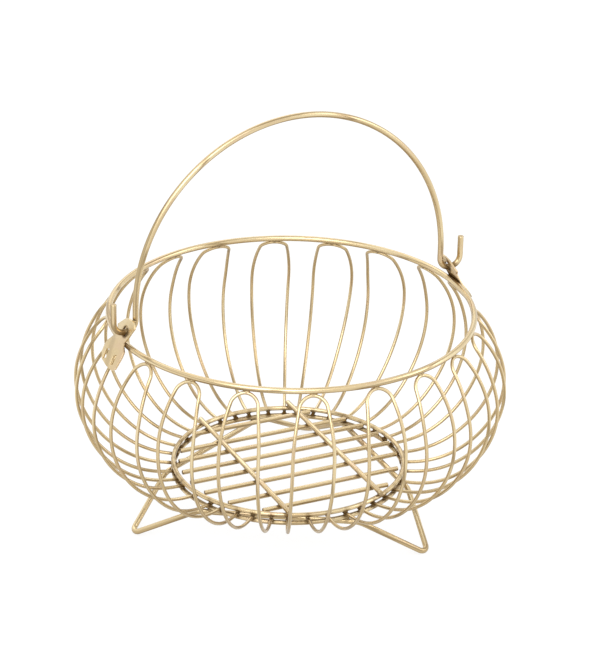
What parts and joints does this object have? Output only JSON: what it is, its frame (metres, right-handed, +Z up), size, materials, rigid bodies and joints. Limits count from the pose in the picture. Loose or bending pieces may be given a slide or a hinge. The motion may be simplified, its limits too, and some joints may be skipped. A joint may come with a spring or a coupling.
{
  "type": "hanging fruit basket",
  "caption": "Round wire fruit basket with hairpin ribs, a slatted base grille on three wire feet, and a swinging bail handle hooked into two rim ears.",
  "frame": {"origin": "centre of the basket's footprint, on the surface the three feet stand on", "axes": "+Z up; the two handle ears lie on X, ear_right at +X; the handle swings about X; +Y is the side away from the viewer of the front"},
  "size_m": [0.2748, 0.2748, 0.2704],
  "materials": {
    "gold_wire": "antique gold lacquer on steel wire, satin to glossy",
    "ear_plate": "antique gold lacquer on stamped steel sheet, satin"
  },
  "bodies": {
    "basket": {"rim_ring": "gold_wire", "base_ring_upper": "gold_wire", "base_ring_lower": "gold_wire", "hairpin_01": "gold_wire", "hairpin_02": "gold_wire", "hairpin_03": "gold_wire", "hairpin_04": "gold_wire", "hairpin_05": "gold_wire", "hairpin_06": "gold_wire", "hairpin_07": "gold_wire", "hairpin_08": "gold_wire", "hairpin_09": "gold_wire", "hairpin_10": "gold_wire", "hairpin_11": "gold_wire", "hairpin_12": "gold_wire", "hairpin_13": "gold_wire", "hairpin_14": "gold_wire", "hairpin_15": "gold_wire", "hairpin_16": "gold_wire", "hairpin_17": "gold_wire", "hairpin_18": "gold_wire", "hairpin_19": "gold_wire", "hairpin_20": "gold_wire", "slat_1": "gold_wire", "slat_2": "gold_wire", "slat_3": "gold_wire", "slat_4": "gold_wire", "slat_5": "gold_wire", "slat_6": "gold_wire", "slat_7": "gold_wire", "slat_8": "gold_wire", "cross_bar_left": "gold_wire", "cross_bar_right": "gold_wire", "foot_frame": "gold_wire", "ear_left": "ear_plate", "ear_right": "ear_plate"},
    "handle": {"handle": "gold_wire"}
  },
  "joints": [
    {"name": "handle_swing", "type": "hinge", "parent": "basket", "child": "handle", "pos_m": [0, 0, 0.14674], "axis": [1, 0, 0], "range_deg": [-93.5, 93.5]}
  ]
}
